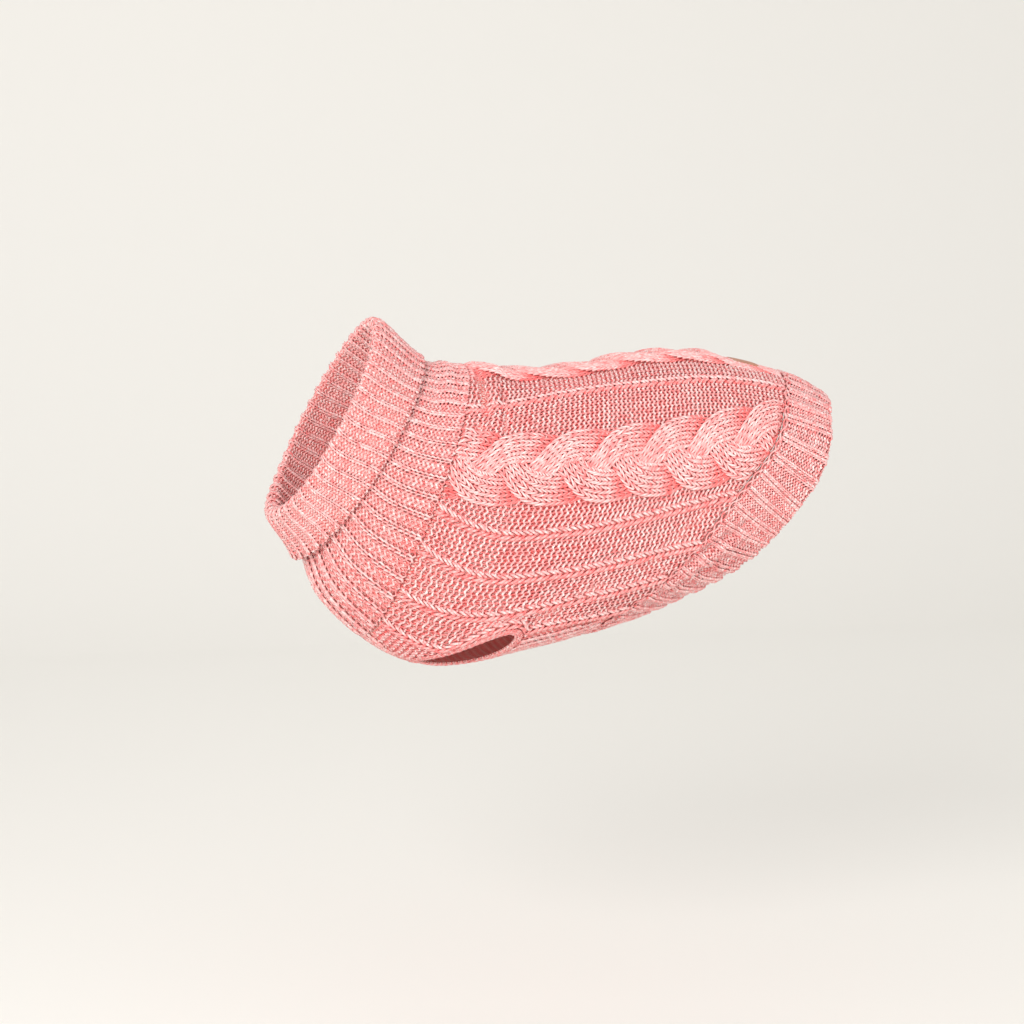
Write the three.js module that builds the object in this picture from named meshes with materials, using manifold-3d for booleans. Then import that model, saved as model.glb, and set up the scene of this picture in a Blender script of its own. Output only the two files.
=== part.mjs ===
// Dog sweater in cable knit with a turned-down polo collar, in the shape it has when worn.
// Millimetres. +X runs from the neck to the tail, +Z is up and the sweater's left side faces -Y.
// The origin is the inside of the back at the withers, where the sweater hangs on its wearer.
//
// Every piece is a wall on one smooth form. A place on that form is (along, around): along is the
// distance from the collar's fold, measured down the side, and around goes from 0 on the spine to 1
// in the middle of the belly, positive on the left side and negative on the right.

import * as THREE from 'three';
import Module from 'manifold-3d';

const wasm = await Module();
wasm.setup();

// Driving sizes
const wall = 2.4; // knitted wall, from its plain inside to the valleys of its relief
const seamGap = 0.3; // between two pieces that meet
const collar = { depth: 38, innerDepth: 36, slot: 2, fold: 2.4, ribs: 44, ribHeight: 1.2, sag: 3 };
const yoke = { end: 75, ribs: 44, ribHeight: 1.0 };
const hem = { ribs: 46, ribHeight: 1.1 };
const bellyRib = { lines: 24, height: 0.8 };
const chevron = { halfWidth: 4, height: 1.5 };
const sidePlait = { swing: 15, strandHalf: 9.4, height: 3.4, period: 97.5, crestAt: 184 };
const spinePlait = { swing: 15, strandHalf: 9.4, height: 3.0, period: 97.5, crestAt: 157 };
const armhole = { along: 120, around: 0.815, halfLength: 34, halfWidth: 17, tilt: 42, band: 5, rise: 0.9 };
const label = { start: 262.5, end: 281, halfWidth: 12, thickness: 1.2, fade: 14 };

// Rings of the form, from the collar's fold to the tail: the top and the lowest point of the ring in
// the middle plane, half its width, and how square its upper and lower halves are (2 is an ellipse).
const rings = [
  // collar fold
  { along: 0, topX: -54, topZ: 28, lowX: -115, lowZ: -90, half: 65, topSquare: 2.0, lowSquare: 2.0 },
  // collar edge
  { along: 38, topX: -25, topZ: 3, lowX: -99, lowZ: -117, half: 68, topSquare: 2.0, lowSquare: 2.0 },
  // neck base
  { along: 55, topX: -10, topZ: 0, lowX: -90, lowZ: -142.5, half: 71, topSquare: 2.0, lowSquare: 2.1 },
  // yoke end
  { along: 75, topX: 6, topZ: -1, lowX: -64.5, lowZ: -170, half: 77, topSquare: 2.05, lowSquare: 2.3 },
  // shoulder
  { along: 108, topX: 37, topZ: -5.5, lowX: -24, lowZ: -188.5, half: 85, topSquare: 2.1, lowSquare: 3.1 },
  // chest
  { along: 150, topX: 80, topZ: -4, lowX: 38, lowZ: -181, half: 87, topSquare: 2.15, lowSquare: 2.7 },
  // ribs
  { along: 195, topX: 122, topZ: 3, lowX: 94, lowZ: -169, half: 86, topSquare: 2.15, lowSquare: 2.4 },
  // waist
  { along: 240, topX: 163, topZ: 3, lowX: 144, lowZ: -151, half: 82, topSquare: 2.15, lowSquare: 2.3 },
  // loin
  { along: 280, topX: 200, topZ: -4, lowX: 188, lowZ: -133, half: 77, topSquare: 2.15, lowSquare: 2.2 },
  // rump
  { along: 320, topX: 236, topZ: -17.5, lowX: 230, lowZ: -116, half: 70, topSquare: 2.1, lowSquare: 2.1 },
  // tail
  { along: 350, topX: 258, topZ: -38, lowX: 258, lowZ: -105, half: 58, topSquare: 2.0, lowSquare: 2.0 },
];
const ringMeasures = ['topX', 'topZ', 'lowX', 'lowZ', 'half', 'topSquare', 'lowSquare'];

// Knitted columns: their place around the form at six distances along it.
const columns = [
  { along: 75, upperRib: 0.215, plait: 0.355, ribA: 0.466, ribB: 0.566, ribC: 0.687, ribD: 0.787 },
  { along: 110, upperRib: 0.165, plait: 0.336, ribA: 0.476, ribB: 0.573, ribC: 0.664, ribD: 0.756 },
  { along: 150, upperRib: 0.15, plait: 0.355, ribA: 0.498, ribB: 0.594, ribC: 0.671, ribD: 0.732 },
  { along: 195, upperRib: 0.174, plait: 0.378, ribA: 0.51, ribB: 0.608, ribC: 0.684, ribD: 0.762 },
  { along: 240, upperRib: 0.18, plait: 0.385, ribA: 0.513, ribB: 0.624, ribC: 0.7, ribD: 0.77 },
  { along: 285, upperRib: 0.19, plait: 0.365, ribA: 0.515, ribB: 0.64, ribC: 0.715, ribD: 0.785 },
];
const columnNames = ['upperRib', 'plait', 'ribA', 'ribB', 'ribC', 'ribD'];

// The seam of back and belly panel, before and behind the armhole.
const sideSeam = [
  { along: 75, around: 0.87 },
  { along: 97, around: 0.885 },
  { along: 144, around: 0.762 },
  { along: 195, around: 0.79 },
  { along: 240, around: 0.81 },
];

// The line where the hem band is picked up, from the spine to the middle of the belly, and the band's
// width there.
const hemLine = [
  { around: 0, along: 300, width: 32 },
  { around: 0.12, along: 296.5, width: 32 },
  { around: 0.251, along: 289, width: 33 },
  { around: 0.355, along: 283.5, width: 35 },
  { around: 0.423, along: 275, width: 38 },
  { around: 0.482, along: 262.5, width: 41 },
  { around: 0.551, along: 248, width: 44 },
  { around: 0.629, along: 234, width: 46 },
  { around: 0.672, along: 223.5, width: 46 },
  { around: 0.713, along: 213, width: 45 },
  { around: 0.751, along: 202, width: 43 },
  { around: 0.8, along: 191, width: 40 },
  { around: 0.9, along: 182, width: 36 },
  { around: 1, along: 178, width: 35 },
];

// Soft troughs (negative height) and rolls of the worn cloth. Each runs from one place to another.
const folds = [
  // crease at the shoulder
  { height: -2.2, half: 6, fromAlong: 82, fromAround: 0.1, toAlong: 82, toAround: 0.28 },
  // roll behind the collar
  { height: 1.6, half: 8, fromAlong: 58, fromAround: 0, toAlong: 62, toAround: 0.2 },
  // roll on the shoulder
  { height: 1.6, half: 8, fromAlong: 92, fromAround: 0, toAlong: 96, toAround: 0.26 },
  // crease behind the armhole
  { height: -1.4, half: 8, fromAlong: 150, fromAround: 0.7, toAlong: 172, toAround: 0.66 },
  // crease before the hem band
  { height: -1.2, half: 9, fromAlong: 206, fromAround: 0.63, toAlong: 240, toAround: 0.52 },
];

// Slope at each row of a table, for a smooth curve through its values.
function slopes(at, values) {
  const last = at.length - 1;
  return at.map((_, i) => {
    const before = i > 0 ? (values[i] - values[i - 1]) / (at[i] - at[i - 1]) : null;
    const after = i < last ? (values[i + 1] - values[i]) / (at[i + 1] - at[i]) : null;
    if (before === null) return after;
    if (after === null) return before;
    const stepBefore = at[i] - at[i - 1];
    const stepAfter = at[i + 1] - at[i];
    return (before * stepAfter + after * stepBefore) / (stepBefore + stepAfter);
  });
}

// A function that reads one named column of a table, smoothly, at any value of another column.
function smoothColumn(rows, by, name) {
  const at = rows.map((row) => row[by]);
  const values = rows.map((row) => row[name]);
  const slope = slopes(at, values);
  return (x) => {
    let i = 0;
    while (i < at.length - 2 && x >= at[i + 1]) i++;
    const step = at[i + 1] - at[i];
    const t = (x - at[i]) / step;
    const t2 = t * t;
    const t3 = t2 * t;
    return (
      (2 * t3 - 3 * t2 + 1) * values[i] +
      (t3 - 2 * t2 + t) * step * slope[i] +
      (3 * t2 - 2 * t3) * values[i + 1] +
      (t3 - t2) * step * slope[i + 1]
    );
  };
}

// One such function for each named column of a table, by its name.
function smoothColumns(rows, by, names) {
  return Object.fromEntries(names.map((name) => [name, smoothColumn(rows, by, name)]));
}

const ringMeasure = smoothColumns(rings, 'along', ringMeasures);
const columnAround = smoothColumns(columns, 'along', columnNames);
const seamAround = smoothColumn(sideSeam, 'along', 'around');
const hemAlong = smoothColumn(hemLine, 'around', 'along');
const hemWidth = smoothColumn(hemLine, 'around', 'width');

// Half a ring as a row of points from the spine to the belly, with the length up to each.
const ringSteps = 120;
const ringCache = new Map();
function halfRing(along) {
  const key = along.toFixed(3);
  if (ringCache.has(key)) return ringCache.get(key);
  const m = Object.fromEntries(ringMeasures.map((name) => [name, ringMeasure[name](along)]));
  const points = [];
  const lengths = [0];
  for (let i = 0; i <= ringSteps; i++) {
    const angle = (Math.PI * i) / ringSteps;
    const power = 2 / (angle < Math.PI / 2 ? m.topSquare : m.lowSquare);
    const down = Math.sign(Math.cos(angle)) * Math.abs(Math.cos(angle)) ** power;
    const out = i === ringSteps ? 0 : Math.abs(Math.sin(angle)) ** power;
    const x = (m.topX + m.lowX) / 2 + ((m.topX - m.lowX) / 2) * down;
    const z = (m.topZ + m.lowZ) / 2 + ((m.topZ - m.lowZ) / 2) * down;
    points.push(new THREE.Vector3(x, m.half * out, z));
    if (i > 0) lengths.push(lengths[i - 1] + points[i].distanceTo(points[i - 1]));
  }
  const ring = { points, lengths, girth: lengths[ringSteps] };
  ringCache.set(key, ring);
  return ring;
}

// The point of the form at (along, around). Past the middle of the belly it goes on up the other side.
function formPoint(along, around) {
  let turn = around;
  if (turn > 1) turn -= 2;
  if (turn < -1) turn += 2;
  const ring = halfRing(along);
  const reach = Math.abs(turn) * ring.girth;
  let low = 0;
  let high = ringSteps;
  while (high - low > 1) {
    const middle = (low + high) >> 1;
    if (ring.lengths[middle] <= reach) low = middle;
    else high = middle;
  }
  const share = (reach - ring.lengths[low]) / (ring.lengths[high] - ring.lengths[low]);
  const point = ring.points[low].clone().lerp(ring.points[high], share);
  if (turn > 0) point.y = -point.y;
  return point;
}

// How the form runs at a place: its steps per unit along and around, and its outward normal.
function formFrame(along, around) {
  const stepAlong = 1.5;
  const stepAround = 0.012;
  const onward = formPoint(along + stepAlong, around).sub(formPoint(along - stepAlong, around));
  const sideways = formPoint(along, around + stepAround).sub(formPoint(along, around - stepAround));
  onward.divideScalar(2 * stepAlong);
  sideways.divideScalar(2 * stepAround);
  const normal = sideways.clone().cross(onward).normalize();
  return { onward, sideways, normal };
}

function liftedPoint(along, around, lift) {
  return formPoint(along, around).addScaledVector(formFrame(along, around).normal, lift);
}

// The place that lies a distance from another one, square to a line through it on the form.
function squareOff(along, around, lineAlong, lineAround, distance) {
  const { onward, sideways, normal } = formFrame(along, around);
  const line = onward.clone().multiplyScalar(lineAlong).addScaledVector(sideways, lineAround);
  const out = line.cross(normal).normalize();
  const aa = onward.dot(onward);
  const ab = onward.dot(sideways);
  const bb = sideways.dot(sideways);
  const oa = out.dot(onward);
  const ob = out.dot(sideways);
  const det = aa * bb - ab * ab;
  return {
    along: along + (distance * (oa * bb - ob * ab)) / det,
    around: around + (distance * (ob * aa - oa * ab)) / det,
  };
}

// A round bump of half width 1 and height 1.
function bump(offset) {
  const size = Math.abs(offset);
  return size < 1 ? (1 - size * size) ** 2 : 0;
}

// Height of a three-strand plait at a distance along it and a distance across it.
function plaitHeight(plait, along, across) {
  let height = 0;
  for (let strand = 0; strand < 3; strand++) {
    const turn = 2 * Math.PI * ((along - plait.crestAt) / plait.period + strand / 3) + Math.PI / 2;
    const offset = (across - plait.swing * Math.sin(turn)) / plait.strandHalf;
    if (Math.abs(offset) >= 1) continue;
    const over = 0.75 + 0.25 * Math.sin(2 * turn);
    height = Math.max(height, plait.height * over * Math.sqrt(1 - offset * offset));
  }
  return height;
}

// Relief dies down to the plain wall at a seam, so that both pieces meet at one height.
function seamFade(distance) {
  return THREE.MathUtils.smoothstep(distance, 0, 7);
}

// The spine's plait runs out smoothly under the label.
function spineFade(along) {
  return THREE.MathUtils.smoothstep(label.start - 3 - along, 0, label.fade);
}

// Height of the cables and chevron ribs of the back panel above its purl ground.
function cableRelief(along, around) {
  const side = Math.abs(around);
  const girth = halfRing(along).girth;
  const spine = plaitHeight(spinePlait, along, -around * girth) * spineFade(along);
  const plait = plaitHeight(sidePlait, along, (columnAround.plait(along) - side) * girth);
  let height = Math.max(spine, plait);
  for (const name of ['upperRib', 'ribA', 'ribB', 'ribC', 'ribD']) {
    const middle = name === 'ribD' ? lowestColumn(along) : columnAround[name](along);
    height = Math.max(height, chevron.height * bump(((middle - side) * girth) / chevron.halfWidth));
  }
  return height;
}

// Height of the folds of the worn cloth at a place.
function foldRelief(along, around) {
  const side = Math.abs(around);
  const girth = halfRing(along).girth;
  let height = 0;
  for (const fold of folds) {
    const spanAlong = fold.toAlong - fold.fromAlong;
    const spanAround = (fold.toAround - fold.fromAround) * girth;
    const hereAlong = along - fold.fromAlong;
    const hereAround = (side - fold.fromAround) * girth;
    const length = Math.hypot(spanAlong, spanAround);
    const reach = (hereAlong * spanAlong + hereAround * spanAround) / length;
    const off = (hereAlong * spanAround - hereAround * spanAlong) / length;
    const past = Math.max(0, -reach, reach - length);
    height += fold.height * bump(Math.hypot(off / fold.half, past / (2 * fold.half)));
  }
  return height * seamFade(Math.abs(along - yoke.end) + 0.5);
}

// The armhole's edge moved outwards by a distance, as a place at each angle. 0 is its rear end.
function armholePlace(angle, grow) {
  const frame = formFrame(armhole.along, armhole.around);
  const perAlong = frame.onward.length();
  const perAround = frame.sideways.length();
  const tilt = THREE.MathUtils.degToRad(armhole.tilt);
  const length = (armhole.halfLength + grow) * Math.cos(angle);
  const width = (armhole.halfWidth + grow) * Math.sin(angle);
  return {
    along: armhole.along + (length * Math.cos(tilt) - width * Math.sin(tilt)) / perAlong,
    around: armhole.around - (length * Math.sin(tilt) + width * Math.cos(tilt)) / perAround,
  };
}

// Where the grown armhole crosses a ring: its upper and lower place around, or null beside it.
const armholeSteps = 180;
function armholeSpan(along, grow) {
  let upper = null;
  let lower = null;
  for (let i = 0; i < armholeSteps; i++) {
    const a = armholePlace((2 * Math.PI * i) / armholeSteps, grow);
    const b = armholePlace((2 * Math.PI * (i + 1)) / armholeSteps, grow);
    if ((a.along - along) * (b.along - along) > 0) continue;
    const share = Math.abs(b.along - a.along) < 1e-9 ? 0 : (along - a.along) / (b.along - a.along);
    const around = a.around + (b.around - a.around) * share;
    upper = upper === null ? around : Math.min(upper, around);
    lower = lower === null ? around : Math.max(lower, around);
  }
  return upper === null ? null : { upper, lower };
}

// The facing edges of back and belly panel on a ring, each drawn a distance past their seam and past
// the edge of the armhole's band.
const edgeCache = new Map();
function panelEdges(along, past) {
  const key = `${along.toFixed(2)} ${past}`;
  if (!edgeCache.has(key)) {
    const seam = seamAround(along);
    const share = past / halfRing(along).girth;
    const span = armholeSpan(along, armhole.band - past);
    const upper = span ? Math.min(span.upper, seam + share) : seam + share;
    const lower = span ? Math.max(span.lower, seam - share) : seam - share;
    edgeCache.set(key, { upper, lower });
  }
  return edgeCache.get(key);
}

// The lowest chevron rib bends up round the armhole.
function lowestColumn(along) {
  const margin = (chevron.halfWidth + 1) / halfRing(along).girth;
  return Math.min(columnAround.ribD(along), panelEdges(along, 0).upper - margin);
}

// Closed meshes are collected here: shared points, then triangles by their numbers.
class Solid {
  constructor() {
    this.positions = [];
    this.triangles = [];
  }

  point(vector) {
    this.positions.push(vector.x, vector.y, vector.z);
    return this.positions.length / 3 - 1;
  }

  triangle(a, b, c) {
    this.triangles.push(a, b, c);
  }

  // A grid of points as two triangles a cell. flip turns its faces round.
  sheet(grid, closed, flip) {
    const across = grid[0].length;
    for (let i = 0; i < grid.length - 1; i++) {
      for (let j = 0; j < (closed ? across : across - 1); j++) {
        const k = (j + 1) % across;
        const corners = [grid[i][j], grid[i + 1][j], grid[i + 1][k], grid[i][k]];
        if (flip) corners.reverse();
        this.triangle(corners[0], corners[1], corners[2]);
        this.triangle(corners[0], corners[2], corners[3]);
      }
    }
  }

  // Joins a fine row of points to a coarse one that has one point for every few of the fine row's.
  rim(fine, coarse, ratio, flip) {
    const add = (a, b, c) => (flip ? this.triangle(a, c, b) : this.triangle(a, b, c));
    for (let b = 0; b < coarse.length - 1; b++) {
      for (let i = 0; i < ratio; i++) add(coarse[b], fine[b * ratio + i], fine[b * ratio + i + 1]);
      add(coarse[b], fine[(b + 1) * ratio], coarse[b + 1]);
    }
  }

  // The mesh as a solid body, cut back where it reaches into others. The largest piece is kept.
  body(cutters = []) {
    const vertProperties = Float32Array.from(this.positions);
    const triVerts = Uint32Array.from(this.triangles);
    let body = new wasm.Manifold(new wasm.Mesh({ numProp: 3, vertProperties, triVerts }));
    for (const cutter of cutters) body = body.subtract(cutter);
    return body.decompose().sort((a, b) => b.volume() - a.volume())[0].simplify(0.04);
  }
}

function namedMesh(name, body, material) {
  const { vertProperties, triVerts } = body.getMesh();
  const geometry = new THREE.BufferGeometry();
  geometry.setAttribute('position', new THREE.BufferAttribute(vertProperties, 3));
  geometry.setIndex(new THREE.BufferAttribute(triVerts, 1));
  geometry.computeVertexNormals();
  const mesh = new THREE.Mesh(geometry, material);
  mesh.name = name;
  return mesh;
}

// A wall over a field of places. place(s, t) gives a place for s and t from 0 to 1, outer(place) the
// height of its outer face and inner the height of its plain inside. rows and lines say how fine its
// outer face is, and coarse how many of its cells one cell of the inside spans, each way.
function wallOver(field) {
  const { place, rows, lines, outer, inner = 0, coarse = 1, coarseLines = coarse, closed = false } = field;
  const solid = new Solid();
  const grid = (stepRows, stepLines, lift) => {
    const out = [];
    for (let i = 0; i <= rows; i += stepRows) {
      const row = [];
      for (let j = 0; closed ? j < lines : j <= lines; j += stepLines) {
        const here = place(i / rows, j / lines);
        row.push(solid.point(liftedPoint(here.along, here.around, lift(here))));
      }
      out.push(row);
    }
    return out;
  };
  const outside = grid(1, 1, outer);
  const inside = grid(coarse, coarseLines, () => inner);
  solid.sheet(outside, closed, true);
  solid.sheet(inside, closed, false);
  const loop = (row) => (closed ? [...row, row[0]] : row);
  const lastInside = inside.length - 1;
  solid.rim(loop(outside[0]), loop(inside[0]), coarseLines, true);
  solid.rim(loop(outside[rows]), loop(inside[lastInside]), coarseLines, false);
  if (!closed) {
    const first = (row) => row[0];
    const last = (row) => row[row.length - 1];
    solid.rim(outside.map(first), inside.map(first), coarse, false);
    solid.rim(outside.map(last), inside.map(last), coarse, true);
  }
  return solid;
}

// The folded collar: one closed section carried round the neck, its outer face ribbed. The outer
// layer sags away from the inner one at the throat.
function makeCollar() {
  const solid = new Solid();
  const outerLow = wall + collar.slot;
  const outerTop = outerLow + wall;
  const edge = collar.depth;
  const tip = -collar.fold;
  const section = [
    { along: edge, lift: outerTop, ribbed: 0.8 },
    { along: edge * 0.72, lift: outerTop + 0.3, ribbed: 1 },
    { along: edge * 0.45, lift: outerTop + 0.4, ribbed: 1 },
    { along: edge * 0.18, lift: outerTop, ribbed: 1 },
    { along: tip * 0.35, lift: outerTop - 1.5, ribbed: 0.8 },
    { along: tip, lift: outerTop / 2, ribbed: 0.4 },
    { along: tip * 0.35, lift: 1.2, ribbed: 0 },
    { along: edge * 0.14, lift: 0, ribbed: 0 },
    { along: collar.innerDepth, lift: 0, ribbed: 0 },
    { along: collar.innerDepth, lift: wall, ribbed: 0 },
    { along: edge * 0.14, lift: wall, ribbed: 0 },
    { along: edge * 0.14, lift: outerLow, ribbed: 0 },
    { along: edge, lift: outerLow, ribbed: 0 },
  ];
  const around = 2 * collar.ribs;
  const grid = [];
  for (const step of section) {
    const row = [];
    for (let j = 0; j < around; j++) {
      const ridge = j % 2 === 0 ? collar.ribHeight : 0;
      const turn = -1 + (2 * j) / around;
      const outerLayer = THREE.MathUtils.smoothstep(step.lift, 0, outerLow);
      const sag = collar.sag * outerLayer * THREE.MathUtils.smoothstep(Math.abs(turn), 0.65, 1);
      row.push(solid.point(liftedPoint(step.along, turn, step.lift + step.ribbed * ridge + sag)));
    }
    grid.push(row);
  }
  solid.sheet([...grid, grid[0]], true, false);
  return solid;
}

// A panel is drawn past its seams, and cut back to them by thick bodies made over its neighbours'
// places, seamGap past their edges.
const overrun = 2;
const cutFrom = -4;
const cutTo = 10;

function yokeCutter() {
  const lines = 2 * yoke.ribs;
  const place = (s, t) => ({ along: yoke.end - 15 * (1 - s) + seamGap * s, around: -1 + 2 * t });
  return wallOver({ place, rows: 3, lines, outer: () => cutTo, inner: cutFrom, closed: true }).body();
}

function makeYoke() {
  const start = collar.innerDepth + 2 * seamGap;
  const lines = 2 * yoke.ribs;
  return wallOver({
    rows: 6,
    lines,
    coarse: 2,
    coarseLines: 4,
    closed: true,
    place: (s, t) => {
      return { along: start + s * (yoke.end - start), around: -1 + 2 * t, line: Math.round(t * lines) };
    },
    outer: (here) => {
      const ridge = here.line % 2 ? 0 : yoke.ribHeight * seamFade(yoke.end - here.along);
      return wall + ridge + foldRelief(here.along, here.around);
    },
  });
}

// A blade as thick as the gap, along the seam of back and belly panel. side is 1 on the left.
function sideSeamCutter(side) {
  const start = yoke.end - 2 * overrun;
  const end = sideSeam[sideSeam.length - 1].along;
  const place = (s, t) => {
    const along = start + s * (end - start);
    return { along, around: side * seamAround(along) + ((t - 0.5) * seamGap) / halfRing(along).girth };
  };
  return wallOver({ place, rows: 48, lines: 1, outer: () => cutTo, inner: cutFrom }).body();
}

// The lines of the back panel on one side: a column each and its distance from it towards the belly.
function backLines() {
  const lines = [];
  for (const off of [0, 6.1, 12.2, 18.3, 24.4]) lines.push({ column: 'spine', off });
  const beside = [-chevron.halfWidth, 0, chevron.halfWidth];
  for (const off of beside) lines.push({ column: 'upperRib', off });
  for (let k = 0; k < 12; k++) lines.push({ column: 'plait', off: (k - 5.5) * 4.45 });
  for (const column of ['ribA', 'ribB', 'ribC', 'ribD']) {
    for (const off of beside) lines.push({ column, off });
  }
  lines.push({ column: 'edge', off: 0 });
  return lines;
}

function lineAround(line, along) {
  if (line.column === 'spine') return line.off / halfRing(along).girth;
  if (line.column === 'edge') return panelEdges(along, overrun).upper;
  const middle = line.column === 'ribD' ? lowestColumn(along) : columnAround[line.column](along);
  return middle + line.off / halfRing(along).girth;
}

// The distance along at which a line on the form meets the hem line.
function reachHem(aroundAt) {
  let along = 250;
  for (let i = 0; i < 30; i++) along = (along + hemAlong(aroundAt(along))) / 2;
  return along;
}

function makeBackPanel() {
  const side = backLines();
  const count = side.length - 1;
  const start = yoke.end - overrun;
  const ends = side.map((line) => reachHem((along) => lineAround(line, along)) + overrun);
  return wallOver({
    rows: 40,
    lines: 2 * count,
    coarse: 4,
    coarseLines: 4,
    place: (s, t) => {
      const j = Math.round(t * 2 * count) - count;
      const line = side[Math.abs(j)];
      const along = start + s * (ends[Math.abs(j)] - start);
      return { along, around: Math.sign(j) * lineAround(line, along) };
    },
    outer: (here) => {
      const toHem = hemAlong(Math.abs(here.around)) - here.along;
      const relief = cableRelief(here.along, here.around) * seamFade(Math.min(here.along - yoke.end, toHem));
      return wall + relief + foldRelief(here.along, here.around);
    },
  });
}

function makeBellyPanel() {
  const lines = bellyRib.lines;
  const start = yoke.end - overrun;
  const aroundAt = (along, t) => {
    const inward = 1 - Math.abs(2 * t - 1);
    const edge = panelEdges(along, overrun).lower;
    return edge + (1 - edge) * inward;
  };
  return wallOver({
    rows: 24,
    lines,
    coarse: 2,
    coarseLines: 2,
    place: (s, t) => {
      const end = reachHem((along) => aroundAt(along, t)) + overrun;
      const along = start + s * (end - start);
      const around = aroundAt(along, t);
      return { along, around: t <= 0.5 ? around : 2 - around, line: Math.round(t * lines) };
    },
    outer: (here) => {
      const toHem = hemAlong(Math.min(here.around, 2 - here.around)) - here.along;
      const toEdge = Math.min(here.along - yoke.end, toHem);
      return wall + (here.line % 2 ? bellyRib.height * seamFade(toEdge) : 0);
    },
  });
}

// The hem's pick-up line all round, by shares of its length, so that its ribs are evenly spaced.
function hemPlaces(count) {
  const fine = 720;
  const turns = [];
  const lengths = [0];
  let before = null;
  for (let i = 0; i <= fine; i++) {
    const around = -1 + (2 * i) / fine;
    const point = formPoint(hemAlong(Math.abs(around)), around);
    if (before) lengths.push(lengths[i - 1] + point.distanceTo(before));
    turns.push(around);
    before = point;
  }
  const places = [];
  for (let j = 0; j < count; j++) {
    const reach = (lengths[fine] * j) / count;
    const i = lengths.findIndex((length) => length > reach);
    const share = (reach - lengths[i - 1]) / (lengths[i] - lengths[i - 1]);
    places.push(turns[i - 1] + share * (turns[i] - turns[i - 1]));
  }
  return places;
}

// Slope of the hem line, as steps along for each step around.
function hemSlope(around) {
  const step = 0.01;
  const ahead = hemAlong(Math.min(1, Math.abs(around) + step));
  const behind = hemAlong(Math.max(0, Math.abs(around) - step));
  return Math.abs(around) > 1 - step ? 0 : (Math.sign(around) * (ahead - behind)) / (2 * step);
}

// The hem band's field of places, from a distance off the hem line to its free edge.
function hemField(from, lines) {
  const places = hemPlaces(lines);
  return (s, t) => {
    const j = Math.round(t * lines) % lines;
    const around = places[j];
    const distance = from + s * (hemWidth(Math.abs(around)) - from);
    const place = squareOff(hemAlong(Math.abs(around)), around, -hemSlope(around), -1, distance);
    return { ...place, line: j, row: s };
  };
}

function makeHemBand() {
  const lines = 2 * hem.ribs;
  return wallOver({
    rows: 4,
    lines,
    coarse: 4,
    coarseLines: 1,
    closed: true,
    place: hemField(seamGap, lines),
    outer: (here) => wall + (here.line % 2 || !here.row ? 0 : hem.ribHeight),
  });
}

function hemCutter() {
  const lines = 2 * hem.ribs;
  const place = hemField(0, lines);
  return wallOver({ place, rows: 2, lines, outer: () => cutTo, inner: cutFrom, closed: true }).body();
}

// A field of places round one leg opening. side is 1 on the left and -1 on the right.
function armholeField(side, from, to) {
  return (s, t) => {
    const place = armholePlace(side * 2 * Math.PI * t, from + (to - from) * s);
    return { along: place.along, around: side * place.around, middle: s === 0.5 };
  };
}

function makeArmholeBand(side) {
  return wallOver({
    rows: 2,
    lines: 36,
    coarse: 2,
    coarseLines: 2,
    closed: true,
    place: armholeField(side, armhole.band, 0),
    outer: (here) => wall + (here.middle ? armhole.rise : 0.2),
  });
}

function armholeCutter(side) {
  const place = armholeField(side, armhole.band + seamGap, -armhole.halfWidth / 2);
  return wallOver({ place, rows: 1, lines: 36, outer: () => cutTo, inner: cutFrom, closed: true }).body();
}

// The leather patch lies on the spine, moved out from the panel's own points.
function makeLabel() {
  const onPanel = (here) => {
    return wall + cableRelief(here.along, here.around) + foldRelief(here.along, here.around);
  };
  const place = (s, t) => {
    const along = label.start + s * (label.end - label.start);
    return { along, around: ((2 * t - 1) * label.halfWidth) / halfRing(along).girth };
  };
  const steps = [0, 0.5, 1];
  const heights = steps.flatMap((s) => steps.map((t) => onPanel(place(s, t))));
  const seat = seamGap + Math.max(...heights);
  return wallOver({ place, rows: 2, lines: 4, outer: () => seat + label.thickness, inner: seat });
}

const yarn = new THREE.MeshStandardMaterial({ color: 0xefa3a1, roughness: 0.95, metalness: 0 });
const leather = new THREE.MeshStandardMaterial({ color: 0xa9805c, roughness: 0.6, metalness: 0 });
const sideCutters = [1, -1].flatMap((side) => [armholeCutter(side), sideSeamCutter(side)]);
const cutters = [yokeCutter(), hemCutter(), ...sideCutters];

const sweater = new THREE.Group();
sweater.add(namedMesh('collar', makeCollar().body(), yarn));
sweater.add(namedMesh('yoke', makeYoke().body(), yarn));
sweater.add(namedMesh('back_panel', makeBackPanel().body(cutters), yarn));
sweater.add(namedMesh('belly_panel', makeBellyPanel().body(cutters), yarn));
sweater.add(namedMesh('armhole_band_left', makeArmholeBand(1).body(), yarn));
sweater.add(namedMesh('armhole_band_right', makeArmholeBand(-1).body(), yarn));
sweater.add(namedMesh('hem_band', makeHemBand().body(), yarn));
sweater.add(namedMesh('label', makeLabel().body(), leather));

export default sweater;
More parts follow.
